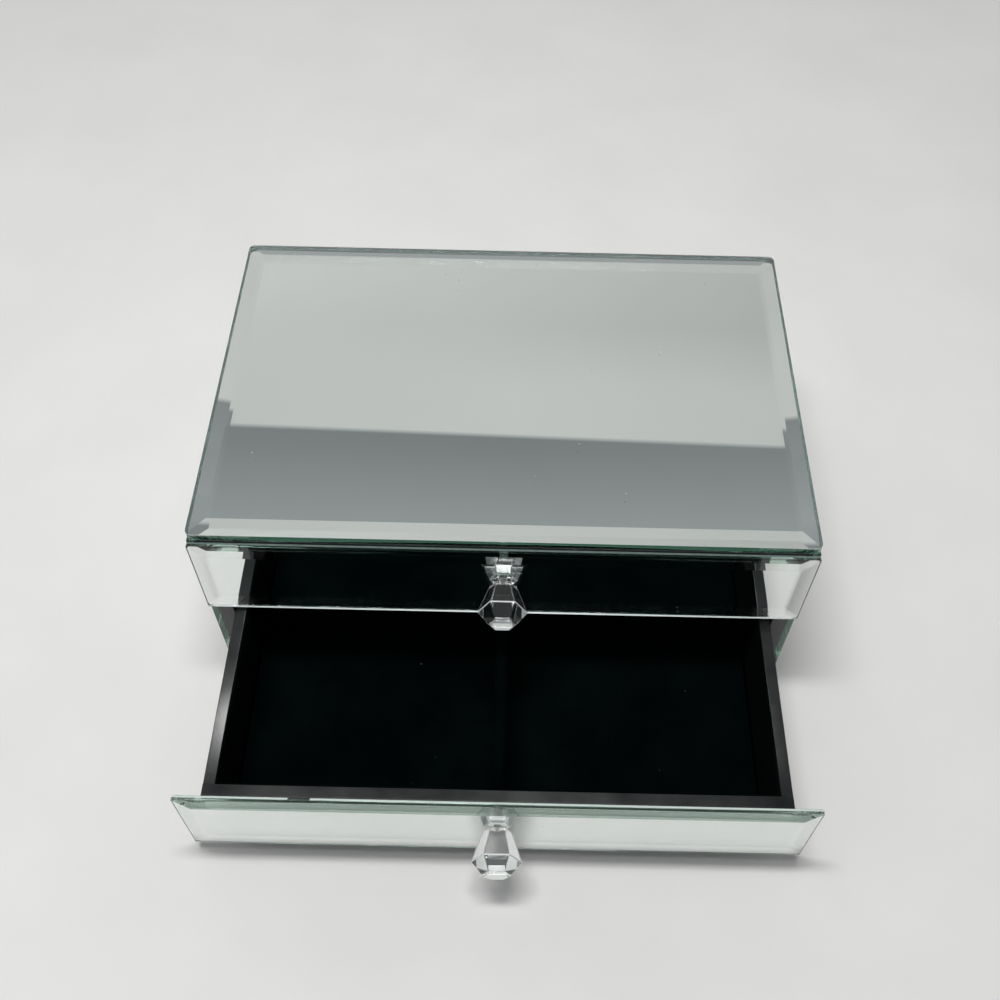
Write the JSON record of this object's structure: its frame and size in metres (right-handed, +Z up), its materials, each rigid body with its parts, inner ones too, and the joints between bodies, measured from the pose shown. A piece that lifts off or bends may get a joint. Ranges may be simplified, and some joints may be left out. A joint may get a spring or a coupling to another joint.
{
  "type": "mirrored jewellery box",
  "caption": "Low mirrored jewellery box with bevelled glass on a black case, and full-width drawers lined with black velvet that slide out by faceted clear knobs.",
  "frame": {"origin": "middle of the felt under the base, on the surface that the box stands on", "axes": "+Z up, +X to the right seen from the front, +Y to the back; the drawers open towards -Y"},
  "size_m": [0.24, 0.2627, 0.0993],
  "materials": {
    "mirror_glass": "polished, bevelled",
    "black_board": "black painted board",
    "velvet": "black velvet",
    "felt": "black felt",
    "crystal": "clear, faceted",
    "screw_steel": "zinc plated"
  },
  "bodies": {
    "case": {"top_mirror": "mirror_glass", "left_side_mirror": "mirror_glass", "right_side_mirror": "mirror_glass", "back_mirror": "mirror_glass", "case_top": "black_board", "case_left_side": "black_board", "case_right_side": "black_board", "case_back": "black_board", "middle_shelf": "black_board", "case_base": "black_board", "base_felt": "felt"},
    "upper_drawer": {"upper_drawer_mirror": "mirror_glass", "upper_drawer_front_wall": "black_board", "upper_drawer_back_wall": "black_board", "upper_drawer_left_wall": "black_board", "upper_drawer_right_wall": "black_board", "upper_drawer_bottom_panel": "black_board", "upper_drawer_wall_velvet": "velvet", "upper_drawer_floor_velvet": "velvet", "upper_drawer_divider": "velvet", "upper_knob": "crystal", "upper_knob_screw": "screw_steel"},
    "lower_drawer": {"lower_drawer_mirror": "mirror_glass", "lower_drawer_front_wall": "black_board", "lower_drawer_back_wall": "black_board", "lower_drawer_left_wall": "black_board", "lower_drawer_right_wall": "black_board", "lower_drawer_bottom_panel": "black_board", "lower_drawer_wall_velvet": "velvet", "lower_drawer_floor_velvet": "velvet", "lower_drawer_divider": "velvet", "lower_knob": "crystal", "lower_knob_screw": "screw_steel"}
  },
  "joints": [
    {"name": "upper_drawer_slide", "type": "slide", "parent": "case", "child": "upper_drawer", "axis": [0, -1, 0], "range_m": [0, 0.12]},
    {"name": "lower_drawer_slide", "type": "slide", "parent": "case", "child": "lower_drawer", "axis": [0, -1, 0], "range_m": [-0.0815, 0.0385]}
  ]
}
